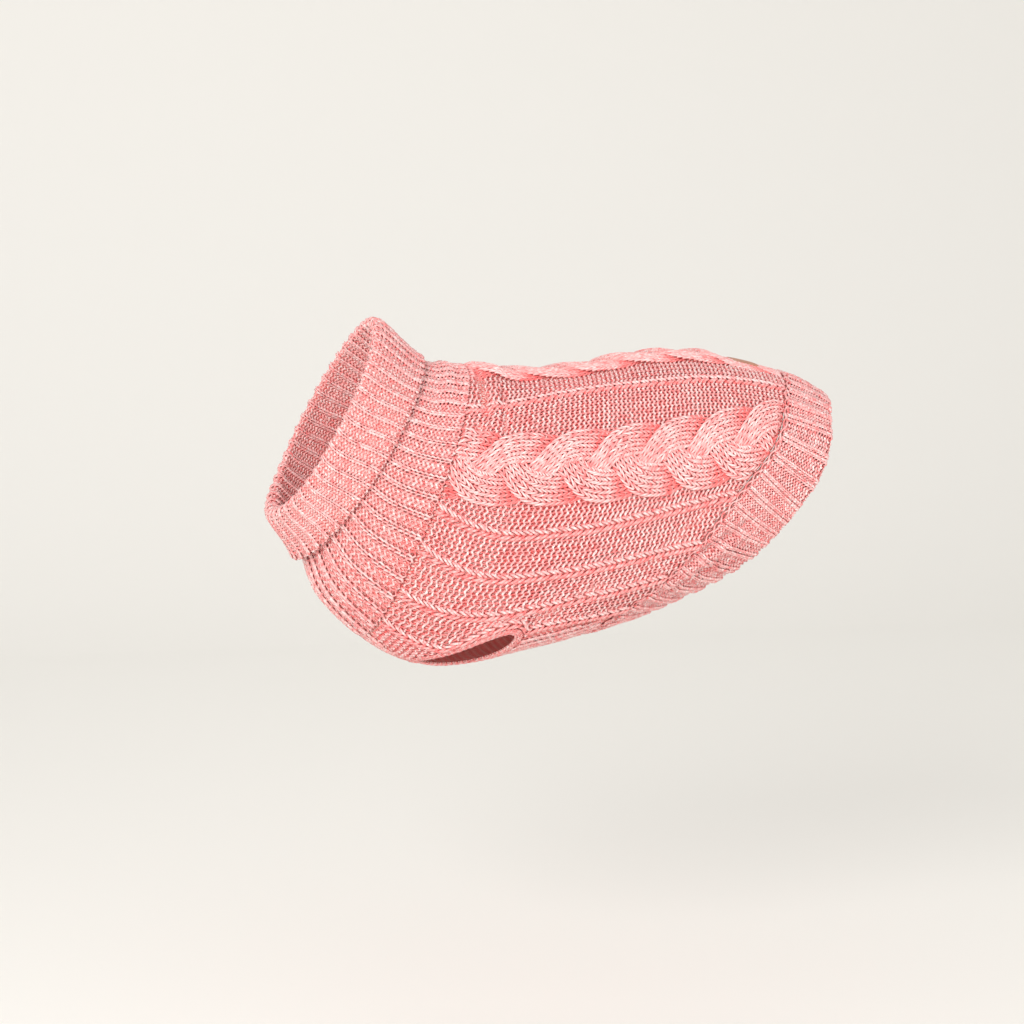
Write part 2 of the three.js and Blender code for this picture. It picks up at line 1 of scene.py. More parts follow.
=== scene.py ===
import math
import bpy
import bmesh
import numpy as np
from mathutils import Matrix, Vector


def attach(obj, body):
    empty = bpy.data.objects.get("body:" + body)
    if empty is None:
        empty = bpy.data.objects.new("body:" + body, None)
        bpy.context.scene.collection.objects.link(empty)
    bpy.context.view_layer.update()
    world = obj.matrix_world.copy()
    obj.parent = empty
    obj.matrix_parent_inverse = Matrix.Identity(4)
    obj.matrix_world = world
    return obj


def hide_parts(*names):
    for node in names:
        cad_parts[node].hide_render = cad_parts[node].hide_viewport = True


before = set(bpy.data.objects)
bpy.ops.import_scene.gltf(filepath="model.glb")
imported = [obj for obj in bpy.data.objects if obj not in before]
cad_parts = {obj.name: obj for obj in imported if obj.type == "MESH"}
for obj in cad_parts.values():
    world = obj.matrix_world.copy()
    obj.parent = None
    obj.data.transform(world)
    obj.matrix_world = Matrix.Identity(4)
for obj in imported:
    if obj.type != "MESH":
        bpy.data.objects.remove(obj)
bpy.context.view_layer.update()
dice = np.random.default_rng(11)
pi = math.pi

# The sweater's form, in millimetres: rings from the collar's fold (along 0) to the tail.
form = {
    "along": [0, 38, 55, 75, 108, 150, 195, 240, 280, 320, 350],
    "topX": [-54, -25, -10, 6, 37, 80, 122, 163, 200, 236, 258],
    "topZ": [28, 3, 0, -1, -5.5, -4, 3, 3, -4, -17.5, -38],
    "lowX": [-115, -99, -90, -64.5, -24, 38, 94, 144, 188, 230, 258],
    "lowZ": [-90, -117, -142.5, -170, -188.5, -181, -169, -151, -133, -116, -105],
    "half": [65, 68, 71, 77, 85, 87, 86, 82, 77, 70, 58],
    "topSquare": [2, 2, 2, 2.05, 2.1, 2.15, 2.15, 2.15, 2.15, 2.1, 2],
    "lowSquare": [2, 2, 2.1, 2.3, 3.1, 2.7, 2.4, 2.3, 2.2, 2.1, 2],
    "gridFrom": -16.0, "gridTo": 372.0, "turns": 720,
}


def smoothCurve(at, values):
    at, values = np.asarray(at, float), np.asarray(values, float)
    steps, rises = np.diff(at), np.diff(values) / np.diff(at)
    inside = (rises[:-1] * steps[1:] + rises[1:] * steps[:-1]) / (steps[1:] + steps[:-1])
    slope = np.concatenate([rises[:1], inside, rises[-1:]])

    def read(x):
        x = np.asarray(x, float)
        i = np.clip(np.searchsorted(at, x, side="right") - 1, 0, len(at) - 2)
        h = steps[i]
        t = (x - at[i]) / h
        return ((2 * t**3 - 3 * t**2 + 1) * values[i] + (t**3 - 2 * t**2 + t) * h * slope[i]
                + (3 * t**2 - 2 * t**3) * values[i + 1] + (t**3 - t**2) * h * slope[i + 1])
    return read


def smoothStep(x, low, high):
    t = np.clip((np.asarray(x, float) - low) / (high - low), 0, 1)
    return t * t * (3 - 2 * t)


def buildForm():
    alongs = np.arange(form["gridFrom"], form["gridTo"] + 0.5, 1.0)
    names = ("topX", "topZ", "lowX", "lowZ", "half", "topSquare", "lowSquare")
    m = {name: smoothCurve(form["along"], form[name])(alongs)[:, None] for name in names}
    angle = np.linspace(0, pi, 1201)[None, :]
    c, s = np.cos(angle), np.abs(np.sin(angle))
    power = 2 / np.where(angle < pi / 2, m["topSquare"], m["lowSquare"])
    down, out = np.sign(c) * np.abs(c) ** power, s ** power
    out[:, -1] = 0
    x = (m["topX"] + m["lowX"]) / 2 + (m["topX"] - m["lowX"]) / 2 * down
    z = (m["topZ"] + m["lowZ"]) / 2 + (m["topZ"] - m["lowZ"]) / 2 * down
    half = np.stack([x, m["half"] * out, z], -1)
    steps = np.linalg.norm(np.diff(half, axis=1), axis=-1)
    lengths = np.concatenate([np.zeros((len(alongs), 1)), np.cumsum(steps, 1)], 1)
    girths = lengths[:, -1]
    share = np.linspace(0, 1, form["turns"] // 2 + 1)
    side = np.empty((len(alongs), len(share), 3))
    for i in range(len(alongs)):
        for k in range(3):
            side[i, :, k] = np.interp(share * girths[i], lengths[i], half[i, :, k])
    left = side * np.array([1, -1, 1])  # around 0 to 1
    right = side[:, :0:-1]  # around -1 to 0
    points = np.concatenate([right, left], 1)
    onward = np.gradient(points, axis=0)
    wrapped = np.concatenate([points[:, -3:-1], points, points[:, 1:3]], 1)
    sideways = np.gradient(wrapped, axis=1)[:, 2:-2]
    normals = np.cross(sideways, onward)
    normals /= np.linalg.norm(normals, axis=-1, keepdims=True)
    return alongs, points, normals, girths


formAlongs, formPoints, formNormals, formGirths = buildForm()
print("form: girths of the half rings", [round(float(g)) for g in formGirths[16::60]])


def girthAt(along):
    return np.interp(along, formAlongs, formGirths)


def readForm(grid, along, around):
    a = np.clip(along - form["gridFrom"], 0, len(formAlongs) - 1.001)
    v = np.mod(around + 1, 2) / 2 * form["turns"]
    i, j = a.astype(int), np.clip(v.astype(int), 0, form["turns"] - 1)
    fa, fv = (a - i)[..., None], (v - j)[..., None]
    return ((grid[i, j] * (1 - fv) + grid[i, j + 1] * fv) * (1 - fa)
            + (grid[i + 1, j] * (1 - fv) + grid[i + 1, j + 1] * fv) * fa)


# The place at (along, around) on the form, lifted off it. around is positive on the left side.
def place(along, around, lift):
    along, around, lift = np.broadcast_arrays(*(np.asarray(q, float) for q in (along, around, lift)))
    return readForm(formPoints, along, around) + readForm(formNormals, along, around) * lift[..., None]


# Middles of the knitted columns, and the seam and hem lines, as shares of the half ring.
lines = {
    "at": [75, 110, 150, 195, 240, 285],
    "upperRib": [0.215, 0.165, 0.15, 0.174, 0.18, 0.19],
    "plait": [0.355, 0.336, 0.355, 0.378, 0.385, 0.365],
    "ribA": [0.466, 0.476, 0.498, 0.51, 0.513, 0.515],
    "ribB": [0.566, 0.573, 0.594, 0.608, 0.624, 0.64],
    "ribC": [0.687, 0.664, 0.671, 0.684, 0.7, 0.715],
    "ribD": [0.787, 0.756, 0.732, 0.762, 0.77, 0.785],
    "seamAt": [75, 97, 144, 195, 240],
    "seam": [0.87, 0.885, 0.762, 0.79, 0.81],
    "hemAround": [0, 0.12, 0.251, 0.355, 0.423, 0.482, 0.551, 0.629, 0.672, 0.713, 0.751, 0.8, 0.9, 1],
    "hemAlong": [300, 296.5, 289, 283.5, 275, 262.5, 248, 234, 223.5, 213, 202, 191, 182, 178],
    "hemWidth": [32, 32, 33, 35, 38, 41, 44, 46, 46, 45, 43, 40, 36, 35],
}
hemAlong = smoothCurve(lines["hemAround"], lines["hemAlong"])
hemWidth = smoothCurve(lines["hemAround"], lines["hemWidth"])
seamAround = smoothCurve(lines["seamAt"], lines["seam"])
ribNames = ("upperRib", "ribA", "ribB", "ribC", "ribD")
columnCurve = {name: smoothCurve(lines["at"], lines[name]) for name in ("plait", *ribNames)}
legHole = {"along": 120, "around": 0.815, "halfLength": 34, "halfWidth": 17, "tilt": math.radians(42), "band": 5}
yokeEnd = 75
wallInner = 0.05  # how far the walls' inner side stands off the form


# A place round the leg hole, grow millimetres outside it.
def legPlace(angle, grow):
    along, around, step, turn = legHole["along"], legHole["around"], 1.5, 0.012
    onward = np.linalg.norm(place(along + step, around, 0) - place(along - step, around, 0)) / (2 * step)
    sideways = np.linalg.norm(place(along, around + turn, 0) - place(along, around - turn, 0)) / (2 * turn)
    length = (legHole["halfLength"] + grow) * np.cos(angle)
    width = (legHole["halfWidth"] + grow) * np.sin(angle)
    c, s = math.cos(legHole["tilt"]), math.sin(legHole["tilt"])
    return along + (length * c - width * s) / onward, around - (length * s + width * c) / sideways


# Upper and lower edge of the panels at each millimetre along, round the leg hole's band or at the seam.
def panelEdges():
    angle = np.linspace(0, 2 * pi, 721)
    along, around = legPlace(angle, legHole["band"])
    upper, lower = seamAround(formAlongs), seamAround(formAlongs)
    for i, here in enumerate(formAlongs):
        crossing = np.nonzero((along[:-1] - here) * (along[1:] - here) <= 0)[0]
        if len(crossing):
            upper[i] = min(upper[i], around[crossing].min())
            lower[i] = max(lower[i], around[crossing].max())
    return upper, lower


edgeUpper, edgeLower = panelEdges()


def upperEdge(along):
    return np.interp(along, formAlongs, edgeUpper)


def lowerEdge(along):
    return np.interp(along, formAlongs, edgeLower)


def column(name, along):
    middle = columnCurve[name](along)
    return np.minimum(middle, upperEdge(along) - 5 / girthAt(along)) if name == "ribD" else middle


# Soft folds of the worn cloth, on both sides: height, half width, then the places that each runs between.
folds = [
    {"height": -3.0, "half": 4.5, "start": (81, 0.06), "end": (88, 0.2)},
    {"height": 1.8, "half": 5, "start": (74, 0.08), "end": (77, 0.3)},
    {"height": -2.6, "half": 5, "start": (86, 0.26), "end": (78, 0.42)},
    {"height": -2.2, "half": 4, "start": (97, 0.13), "end": (101, 0.24)},
    {"height": 1.6, "half": 8, "start": (58, 0), "end": (62, 0.2)},
    {"height": 1.6, "half": 8, "start": (92, 0), "end": (96, 0.26)},
    {"height": -1.4, "half": 8, "start": (150, 0.7), "end": (172, 0.66)},
    {"height": -1.2, "half": 9, "start": (206, 0.63), "end": (240, 0.52)},
    {"height": -2.2, "half": 7, "start": (236, 0.66), "end": (262, 0.61)},
    {"height": 1.6, "half": 7, "start": (228, 0.71), "end": (252, 0.665)},
    {"height": -2.0, "half": 6, "start": (226, 0.75), "end": (246, 0.72)},
]


def foldLift(along, around):
    size, girth, lift = np.abs(around), girthAt(along), 0.0
    for fold in folds:
        (a0, v0), (a1, v1) = fold["start"], fold["end"]
        da, dv = a1 - a0, (v1 - v0) * girth
        ha, hv = along - a0, (size - v0) * girth
        length = np.hypot(da, dv)
        reach, off = (ha * da + hv * dv) / length, (ha * dv - hv * da) / length
        past = np.maximum(0, np.maximum(-reach, reach - length))
        bump = np.clip(1 - (off / fold["half"]) ** 2 - (past / (2 * fold["half"])) ** 2, 0, 1) ** 2
        lift = lift + fold["height"] * bump
    return lift * smoothStep(np.abs(along - yokeEnd), 0, 7)


# Making meshes

def crossGrid(rows, cols):
    return np.meshgrid(rows, cols, indexing="ij")


def linkMesh(name, mesh):
    piece = bpy.data.objects.new(name, mesh)
    bpy.context.scene.collection.objects.link(piece)
    return piece


# A thin closed shell from an outer and an inner grid of points, with its knit coordinates as UV.
def shellMesh(name, outer, inner, knit, closed):
    rows, cols = outer.shape[:2]
    points = np.concatenate([outer.reshape(-1, 3), inner.reshape(-1, 3)]) * 0.001
    index = np.arange(rows * cols).reshape(rows, cols)
    if closed:
        index = np.concatenate([index, index[:, :1]], 1)
    back = index + rows * cols

    def quads(g):
        return np.stack([g[:-1, :-1], g[1:, :-1], g[1:, 1:], g[:-1, 1:]], -1).reshape(-1, 4)
    faces = [quads(index), quads(back)[:, ::-1]]
    for a, b in ((index[0], back[0]), (back[-1], index[-1])):
        faces.append(np.stack([a[:-1], a[1:], b[1:], b[:-1]], -1))
    if not closed:
        for a, b in ((back[:, 0], index[:, 0]), (index[:, -1], back[:, -1])):
            faces.append(np.stack([a[:-1], a[1:], b[1:], b[:-1]], -1))
    faces = np.concatenate(faces)
    mesh = bpy.data.meshes.new(name)
    mesh.from_pydata(points.tolist(), [], faces.tolist())
    bm = bmesh.new()
    bm.from_mesh(mesh)
    bmesh.ops.recalc_face_normals(bm, faces=bm.faces)
    bm.to_mesh(mesh)
    bm.free()
    layer = mesh.uv_layers.new(name="knit")
    both = np.concatenate([knit.reshape(-1, 2), knit.reshape(-1, 2)])
    loopVerts = np.empty(len(mesh.loops), dtype=np.int32)
    mesh.loops.foreach_get("vertex_index", loopVerts)
    uv = both[loopVerts]
    if closed:  # the last faces run on to where the first began
        ringAt = (loopVerts % cols).reshape(-1, 4)
        wraps = (ringAt == cols - 1).any(1)[:, None] & (ringAt == 0)
        uv[wraps.ravel(), 0] += cols * (knit[0, 1, 0] - knit[0, 0, 0])
    layer.data.foreach_set("uv", uv.astype(np.float32).ravel())
    mesh.polygons.foreach_set("use_smooth", [True] * len(mesh.polygons))
    return linkMesh(name, mesh)


# Strands wait here until they become one mesh of swept yarn. Each point has its run along the yarn in
# millimetres, the strand's tone and its dip, from 0 where it lies on top to 1 where it is tucked under; the yarn
# material paints shade by the dip.
class Skein:
    def __init__(self):
        self.points, self.run, self.tone, self.dip, self.edges, self.size = [], [], [], [], [], 0

    def add(self, points, dip, closed=False):
        count = len(points)
        if count < 3:
            return
        steps = np.linalg.norm(np.diff(points, axis=0), axis=-1)
        self.points.append(points)
        self.run.append(np.concatenate([[0], np.cumsum(steps)]) + dice.uniform(0, 900))
        self.tone.append(np.full(count, dice.uniform()))
        self.dip.append(dip)
        first = np.arange(count - 1) + self.size
        pairs = np.stack([first, first + 1], -1)
        if closed:
            pairs = np.concatenate([pairs, [[self.size + count - 1, self.size]]])
        self.edges.append(pairs)
        self.size += count

    # Many short strands at once, as arrays of strand and point.
    def addAll(self, points, run, tone, dip):
        strands, count = points.shape[:2]
        self.points.append(points.reshape(-1, 3))
        self.run.append(np.asarray(run).reshape(-1))
        self.tone.append(np.repeat(tone, count))
        self.dip.append(np.broadcast_to(dip, (strands, count)).reshape(-1))
        first = (np.arange(strands)[:, None] * count + np.arange(count - 1)[None, :]).reshape(-1) + self.size
        self.edges.append(np.stack([first, first + 1], -1))
        self.size += strands * count

    # Adds the stretches of a strand where keep is true.
    def addKept(self, points, dip, keep, closed=False):
        if keep.all():
            self.add(points, dip, closed)
            return
        marks = np.flatnonzero(np.diff(np.concatenate([[0], keep.astype(int), [0]])))
        for a, b in zip(marks[::2], marks[1::2]):
            self.add(points[a:b], dip[a:b])


# Geometry nodes that sweep a round yarn along every strand and keep its turn for the ply's twist.
def sweepTree(material):
    tree = bpy.data.node_groups.new("sweptYarn", "GeometryNodeTree")
    face = tree.interface
    face.new_socket("Geometry", in_out="INPUT", socket_type="NodeSocketGeometry")
    radius = face.new_socket("Yarn radius", in_out="INPUT", socket_type="NodeSocketFloat")
    sides = face.new_socket("Sides", in_out="INPUT", socket_type="NodeSocketInt")
    face.new_socket("Geometry", in_out="OUTPUT", socket_type="NodeSocketGeometry")
    node = tree.nodes.new
    link = tree.links.new
    start, end = node("NodeGroupInput"), node("NodeGroupOutput")
    toCurve = node("GeometryNodeMeshToCurve")
    circle = node("GeometryNodeCurvePrimitiveCircle")
    position = node("GeometryNodeInputPosition")
    unit = node("ShaderNodeVectorMath")
    unit.operation = "NORMALIZE"
    store = node("GeometryNodeStoreNamedAttribute")
    store.data_type = "FLOAT_VECTOR"
    store.domain = "POINT"
    store.inputs["Name"].default_value = "ply"
    sweep = node("GeometryNodeCurveToMesh")
    sweep.inputs["Fill Caps"].default_value = True
    smooth = node("GeometryNodeSetShadeSmooth")
    paint = node("GeometryNodeSetMaterial")
    paint.inputs["Material"].default_value = material
    realize = node("GeometryNodeRealizeInstances")
    link(start.outputs["Geometry"], toCurve.inputs["Mesh"])
    link(start.outputs["Sides"], circle.inputs["Resolution"])
    link(start.outputs["Yarn radius"], circle.inputs["Radius"])
    link(position.outputs[0], unit.inputs[0])
    link(circle.outputs["Curve"], store.inputs["Geometry"])
    link(unit.outputs["Vector"], store.inputs["Value"])
    link(toCurve.outputs["Curve"], sweep.inputs["Curve"])
    link(store.outputs["Geometry"], sweep.inputs["Profile Curve"])
    link(sweep.outputs["Mesh"], smooth.inputs["Geometry"])
    link(smooth.outputs["Geometry"], realize.inputs["Geometry"])
    link(realize.outputs["Geometry"], paint.inputs["Geometry"])
    link(paint.outputs["Geometry"], end.inputs["Geometry"])
    return tree, radius.identifier, sides.identifier


def spinYarn(name, skein, radius, sides):
    mesh = bpy.data.meshes.new(name + "Path")
    points = np.concatenate(skein.points) * 0.001
    edges = np.concatenate(skein.edges)
    mesh.vertices.add(len(points))
    mesh.vertices.foreach_set("co", points.astype(np.float32).ravel())
    mesh.edges.add(len(edges))
    mesh.edges.foreach_set("vertices", edges.astype(np.int32).ravel())
    for label, values in (("run", skein.run), ("tone", skein.tone), ("dip", skein.dip)):
        layer = mesh.attributes.new(label, "FLOAT", "POINT")
        layer.data.foreach_set("value", np.concatenate(values).astype(np.float32))
    mesh.update()
    piece = linkMesh(name, mesh)
    sweep = piece.modifiers.new("sweep", "NODES")
    sweep.node_group = yarnSweep
    sweep[radiusSocket] = radius * 0.001
    sweep[sidesSocket] = sides
    bpy.context.view_layer.update()
    evaluated = piece.evaluated_get(bpy.context.evaluated_depsgraph_get())
    swept = bpy.data.meshes.new_from_object(evaluated)
    piece.modifiers.clear()
    piece.data = swept
    swept.name = name
    bpy.data.meshes.remove(mesh)
    triangles = sum(len(p.vertices) - 2 for p in swept.polygons)
    print("yarn:", name, triangles, "triangles")
    return piece


# Materials

def setInputs(node, values):
    for name, value in values.items():
        node.inputs[name].default_value = value


# A new material with shorthands: add makes a node, work a math node.
def newMaterial(name):
    material = bpy.data.materials.new(name)
    material.use_nodes = True
    nodes, links = material.node_tree.nodes, material.node_tree.links

    def add(kind, values={}, **settings):
        made = nodes.new(kind)
        for key, value in settings.items():
            setattr(made, key, value)
        setInputs(made, values)
        return made

    def work(operation, a, b=None, c=None):
        made = add("ShaderNodeMath", operation=operation)
        for slot, value in enumerate((a, b, c)):
            if isinstance(value, (int, float)):
                made.inputs[slot].default_value = value
            elif value is not None:
                links.new(value, made.inputs[slot])
        return made.outputs[0]
    return material, links, nodes["Principled BSDF"], add, work


# A colour ramp of three colours, read at factor.
def addRamp(add, links, factor, low, middle, middleAt, high, highAt=1.0):
    ramp = add("ShaderNodeValToRGB")
    stops = ramp.color_ramp.elements
    stops[0].color, stops[1].color, stops[1].position = low, high, highAt
    stops.new(middleAt).color = middle
    links.new(factor, ramp.inputs["Fac"])
    return ramp.outputs["Color"]


def addBump(add, links, shader, height, strength, distance):
    bump = add("ShaderNodeBump", {"Strength": strength, "Distance": distance})
    links.new(height, bump.inputs["Height"])
    links.new(bump.outputs["Normal"], shader.inputs["Normal"])


# Marled yarn of a coral ply and a pale ply, with stretches where one or the other shows more.
# under is a painted shade colour, mixed into the yarn by its dip where it is tucked under others
marl = {
    "coral": (0.90, 0.28, 0.28, 1), "pink": (0.92, 0.53, 0.515, 1), "pale": (0.955, 0.83, 0.81, 1),
    "under": (0.90, 0.075, 0.07, 1), "shadeShare": 0.70, "twist": 3.4, "plyShare": 0.10, "lean": (0.24, 0.74),
    "fleck": 0.075, "roughness": 0.9, "sheen": 0.06,
}


def marledYarn():
    material, links, shader, add, work = newMaterial("marledYarn")
    run, tone, dip, ply = (add("ShaderNodeAttribute", attribute_name=n) for n in ("run", "tone", "dip", "ply"))
    across = add("ShaderNodeSeparateXYZ")
    links.new(ply.outputs["Vector"], across.inputs[0])
    turns = work("MULTIPLY", run.outputs["Fac"], 2 * pi / marl["twist"])
    wave = work("ADD", work("MULTIPLY", work("SINE", turns), across.outputs["X"]),
                work("MULTIPLY", work("COSINE", turns), across.outputs["Y"]))
    # flecks along the yarn, another row of them for each strand
    spot = add("ShaderNodeCombineXYZ")
    links.new(work("MULTIPLY", run.outputs["Fac"], marl["fleck"]), spot.inputs["X"])
    links.new(work("MULTIPLY", tone.outputs["Fac"], 57.0), spot.inputs["Y"])
    flecks = add("ShaderNodeTexNoise", {"Scale": 3.0, "Detail": 2.0}, noise_dimensions="2D")
    links.new(spot.outputs[0], flecks.inputs["Vector"])
    lean = add("ShaderNodeMapRange", {"From Min": marl["lean"][0], "From Max": marl["lean"][1]})
    links.new(flecks.outputs["Fac"], lean.inputs["Value"])
    shade = work("MULTIPLY_ADD", wave, marl["plyShare"], lean.outputs[0])
    # painted shade: yarn tucked under others is mixed towards the dark red under colour, more the deeper its dip
    paintedShade = add("ShaderNodeMix", data_type="RGBA")
    paintedShade.inputs["B"].default_value = marl["under"]
    links.new(addRamp(add, links, shade, marl["coral"], marl["pink"], 0.4, marl["pale"]), paintedShade.inputs["A"])
    shadeAmount = work("MULTIPLY", work("POWER", dip.outputs["Fac"], 1.3), marl["shadeShare"])
    links.new(shadeAmount, paintedShade.inputs["Factor"])
    links.new(paintedShade.outputs["Result"], shader.inputs["Base Color"])
    # ply grooves and loose fibre
    coords = add("ShaderNodeTexCoord")
    fibre = add("ShaderNodeTexNoise", {"Scale": 2600.0, "Detail": 2.0})
    links.new(coords.outputs["Object"], fibre.inputs["Vector"])
    groove = work("MULTIPLY_ADD", fibre.outputs["Fac"], 0.5, work("ABSOLUTE", wave))
    addBump(add, links, shader, groove, 0.5, 0.00025)
    setInputs(shader, {"Roughness": marl["roughness"], "Sheen Weight": marl["sheen"], "Sheen Roughness": 0.5,
                       "Sheen Tint": (1.0, 0.80, 0.78, 1), "Specular IOR Level": 0.04})
    return material


# The wall behind the yarn, seen from inside as rows of small stitches and from outside through the holes.
# Its colours, redder and darker than the yarn, are painted shade for the holes: darkest in the grooves between the
# stitch legs, palest on their raised middles, with random tone from noise.
backing = {"shadeDeep": (0.93, 0.07, 0.065, 1), "light": (0.96, 0.42, 0.39, 1), "pale": (0.95, 0.68, 0.63, 1)}


def knitBacking():
    material, links, shader, add, work = newMaterial("knitBacking")
    knit = add("ShaderNodeUVMap", uv_map="knit")
    split = add("ShaderNodeSeparateXYZ")
    links.new(knit.outputs["UV"], split.inputs[0])
    # a stitch is two legs that lean together: fold the wale and shear the row by it
    wale = work("ABSOLUTE", work("SUBTRACT", work("FRACT", split.outputs["X"]), 0.5))
    row = work("FRACT", work("ADD", split.outputs["Y"], work("MULTIPLY", wale, -1.5)))
    leg = work("SINE", work("MULTIPLY", row, pi))
    side = work("SINE", work("MULTIPLY", wale, 2 * pi))
    height = work("MULTIPLY", work("POWER", leg, 0.7), work("POWER", side, 0.5))
    noise = add("ShaderNodeTexNoise", {"Scale": 3.5, "Detail": 3.0})
    links.new(knit.outputs["UV"], noise.inputs["Vector"])
    # painted shade: the colour follows the legs' height, darkest in the grooves
    shade = work("MULTIPLY", height, work("ADD", noise.outputs["Fac"], 0.3))
    color = addRamp(add, links, shade, backing["shadeDeep"], backing["light"], 0.45, backing["pale"], 0.9)
    links.new(color, shader.inputs["Base Color"])
    addBump(add, links, shader, height, 0.9, 0.0012)
    setInputs(shader, {"Roughness": 0.9, "Specular IOR Level": 0.0})
    return material


yarnLook = marledYarn()
backLook = knitBacking()
yarnSweep, radiusSocket, sidesSocket = sweepTree(yarnLook)


# Stitches

# A row of stitches as one yarn: wave across (in wales), up (in rows) and out (millimetres) for each point.
# knit says for each wale if its legs lie in front (1) or behind (-1), and ridge how far it stands out.
def stitchWave(wales, perStitch, knit, ridge, loop, closed):
    k = np.arange(wales * perStitch + (0 if closed else 1)) / perStitch
    wale = np.minimum(k.astype(int), wales - 1)
    tau = k - wale - 0.5
    beside = np.where(tau < 0, wale - 1, wale + 1)
    beside = np.mod(beside, wales) if closed else np.clip(beside, 0, wales - 1)
    blend = 0.5 * smoothStep(np.abs(tau), 0.25, 0.5)
    face = knit[wale] * (1 - blend) + knit[beside] * blend
    stand = ridge[wale] * (1 - blend) + ridge[beside] * blend
    across = k + loop["neck"] * np.sin(4 * pi * tau)
    up = loop["reach"] * np.cos(2 * pi * tau)
    out = stand - face * loop["depth"] * np.cos(4 * pi * tau)
    # dip: painted shade where the yarn goes behind, none where it lies in front
    dip = 0.5 + 0.5 * face * np.cos(4 * pi * tau)
    return across, up, out, wale, dip


# Knits rows of stitches over a field. where(row, wale, out) gives points, keep(row, wale) what is kept.
def knitRows(skein, rows, wales, knit, ridge, loop, where, closed=False, perStitch=8, keep=None, uneven=0.07):
    across, up, out, wale, dip = stitchWave(wales, perStitch, knit, ridge, loop, closed)
    crest = 0.5 + 0.5 * np.cos(2 * pi * (across - wale - 0.5))
    for r in rows:
        rowUneven = dice.normal(0, uneven, wales)[wale] * crest
        outUneven = dice.normal(0, uneven, wales)[wale] * crest
        row = r + up + rowUneven
        points = where(row, across, out + outUneven)
        kept = np.ones(len(points), bool) if keep is None else keep(row, across)
        skein.addKept(points, dip, kept, closed)


# Collar

collar = {"depth": 38, "foldEnd": 48, "innerEdge": 81, "outerLift": 5.5, "innerLift": 1.2, "sag": 3,
          "ribs": 44, "rows": 30, "pitch": 2.7, "radius": 0.97, "wall": (0.15, -0.95), "uvWales": 63.636,
          "loop": {"neck": 0.22, "reach": -0.76, "depth": 0.42}}
ribPattern = {"knit": [1, -1, -1], "ridge": [1.25, -0.15, -0.2], "width": [0.9, 1.05, 1.05]}
ribDrift = smoothCurve([-16, 0, 38, 75, 90], [0, 0, 0.052, 0.1, 0.112])


# Where a wale lies across ribs whose wales differ in width.
def ribAcross(wale, pattern):
    n = len(pattern["width"])
    edges = np.concatenate([[0], np.cumsum(pattern["width"])]) * n / np.sum(pattern["width"])
    whole = np.floor(wale / n)
    return whole * n + np.interp(wale - whole * n, np.arange(n + 1), edges)


def ribWales(pattern, ribs):
    return ribs * len(pattern["knit"]), np.tile(pattern["knit"], ribs), np.tile(pattern["ridge"], ribs)


# The ribs of collar and yoke run square to the rings, which climbs a little up the sides.
def ribAround(wale, along):
    around = -1 + 2 * (ribAcross(wale, ribPattern) - 0.42) / (collar["ribs"] * 3)
    return around - ribDrift(along) * np.sin(pi * around)


# A place on the collar, by its run from the free edge over the fold to the inner layer's edge.
def collarPlace(run, around, out):
    sag = collar["sag"] * smoothStep(np.abs(np.mod(around + 1, 2) - 1), 0.65, 1)
    outer = collar["outerLift"] + sag
    radius = (outer - collar["innerLift"]) / 2
    middle = (outer + collar["innerLift"]) / 2
    bend = np.clip((run - collar["depth"]) / (pi * radius), 0, 1)
    past = run - collar["depth"] - pi * radius
    angle = bend * pi
    crown = 0.5 * np.sin(pi * np.clip(run / collar["depth"], 0, 1))
    turned = np.where(past > 0, past, -radius * np.sin(angle))
    along = np.where(run < collar["depth"], collar["depth"] - run, turned)
    along = along - out * np.sin(angle)
    lift = middle + radius * np.cos(angle) + crown + out * np.cos(angle)
    return place(along, around, lift + foldLift(along, around))


def makeCollar():
    skein = Skein()
    wales, knit, ridge = ribWales(ribPattern, collar["ribs"])

    def where(row, wale, out):
        run = 1.2 + row * collar["pitch"]
        return collarPlace(run, ribAround(wale, np.abs(collar["depth"] - run)), out)
    knitRows(skein, range(collar["rows"]), wales, knit, ridge, collar["loop"], where, closed=True, perStitch=6)
    yarn = spinYarn("collarYarn", skein, collar["radius"], 3)
    stops = [0, collar["depth"], collar["foldEnd"], collar["innerEdge"]]
    runs = [np.linspace(a, b, n)[1:] for a, b, n in zip(stops[:-1], stops[1:], (14, 9, 12))]
    run, turn = crossGrid(np.concatenate([[0], *runs]), np.linspace(-1, 1, 133)[:-1])
    knitUv = np.stack([turn * collar["uvWales"], run / collar["pitch"]], -1)
    outer, inner = (collarPlace(run, turn, out) for out in collar["wall"])
    return shellMesh("collarWall", outer, inner, knitUv, True), yarn


# Yoke

yoke = {"start": 36.8, "rows": 14, "pitch": 2.8, "radius": 1.02, "lift": 1.5, "wall": 1.1, "uvWales": 64.103,
        "loop": {"neck": 0.22, "reach": -0.76, "depth": 0.42}}


def makeYoke():
    skein = Skein()
    wales, knit, ridge = ribWales(ribPattern, collar["ribs"])

    def where(row, wale, out):
        along = yoke["start"] + row * yoke["pitch"]
        around = ribAround(wale, along)
        return place(along, around, yoke["lift"] + out + foldLift(along, around))
    knitRows(skein, range(yoke["rows"]), wales, knit, ridge, yoke["loop"], where, closed=True, perStitch=6)
    yarn = spinYarn("yokeYarn", skein, yoke["radius"], 3)
    along, turn = crossGrid(np.linspace(yoke["start"], yokeEnd, 14), np.linspace(-1, 1, 161)[:-1])
    knitUv = np.stack([turn * yoke["uvWales"], along / yoke["pitch"]], -1)
    outer = place(along, turn, yoke["wall"] + foldLift(along, turn))
    return shellMesh("yokeWall", outer, place(along, turn, wallInner), knitUv, True), yarn


# Back panel

